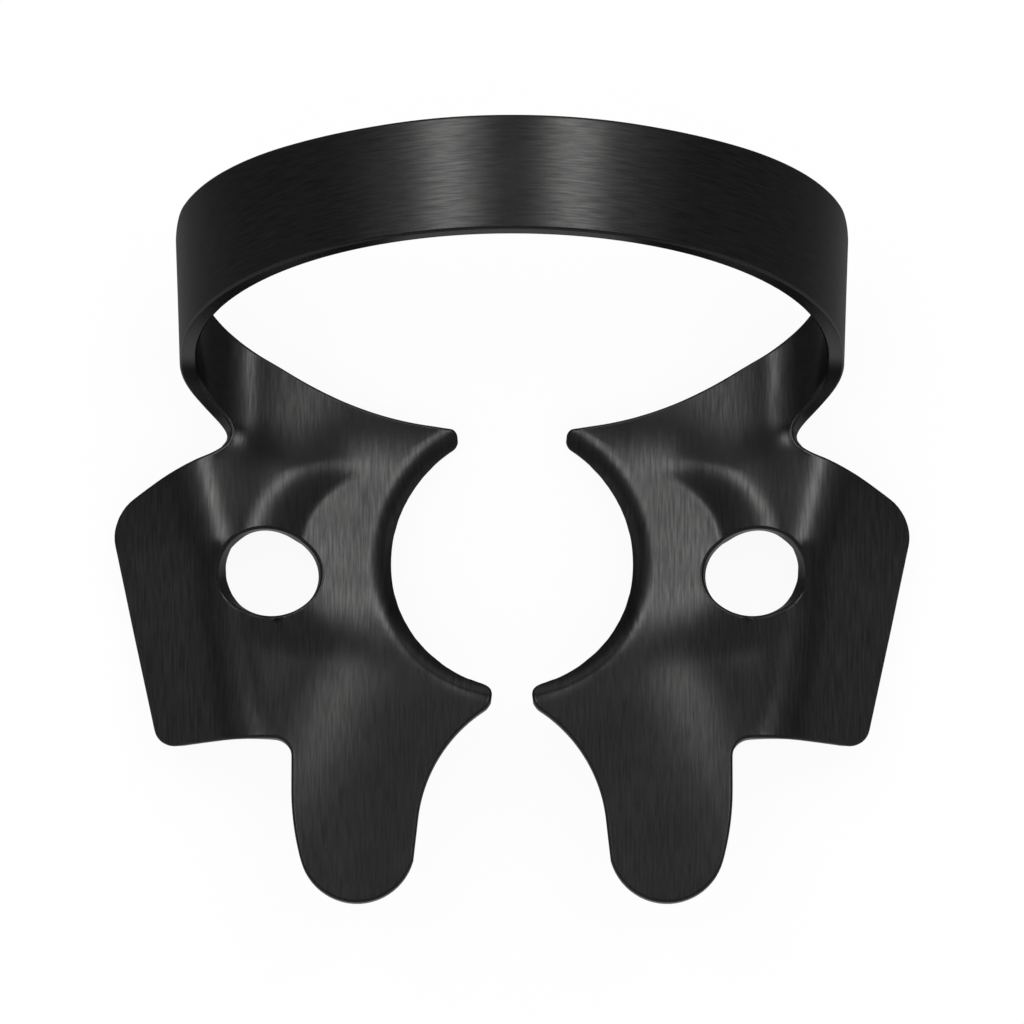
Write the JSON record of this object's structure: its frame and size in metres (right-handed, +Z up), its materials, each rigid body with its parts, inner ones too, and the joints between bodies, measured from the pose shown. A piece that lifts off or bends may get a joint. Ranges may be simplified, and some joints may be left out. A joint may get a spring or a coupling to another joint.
{
  "type": "rubber dam clamp",
  "caption": "Winged rubber dam clamp in bent sheet metal: a bow spring joins pronged jaws that grip a tooth, with forceps holes, drooping wings and rounded lobes.",
  "frame": {"origin": "centre of the bounding box's underside, with the clamp resting on its wings and necks", "axes": "+X across the clamp from wing to wing, +Y towards the bow, +Z up"},
  "size_m": [0.0308, 0.0306, 0.0155],
  "materials": {
    "coated_steel": "black coated over brushed steel, satin"
  },
  "bodies": {
    "root": {"clamp_body": "coated_steel"}
  },
  "joints": []
}
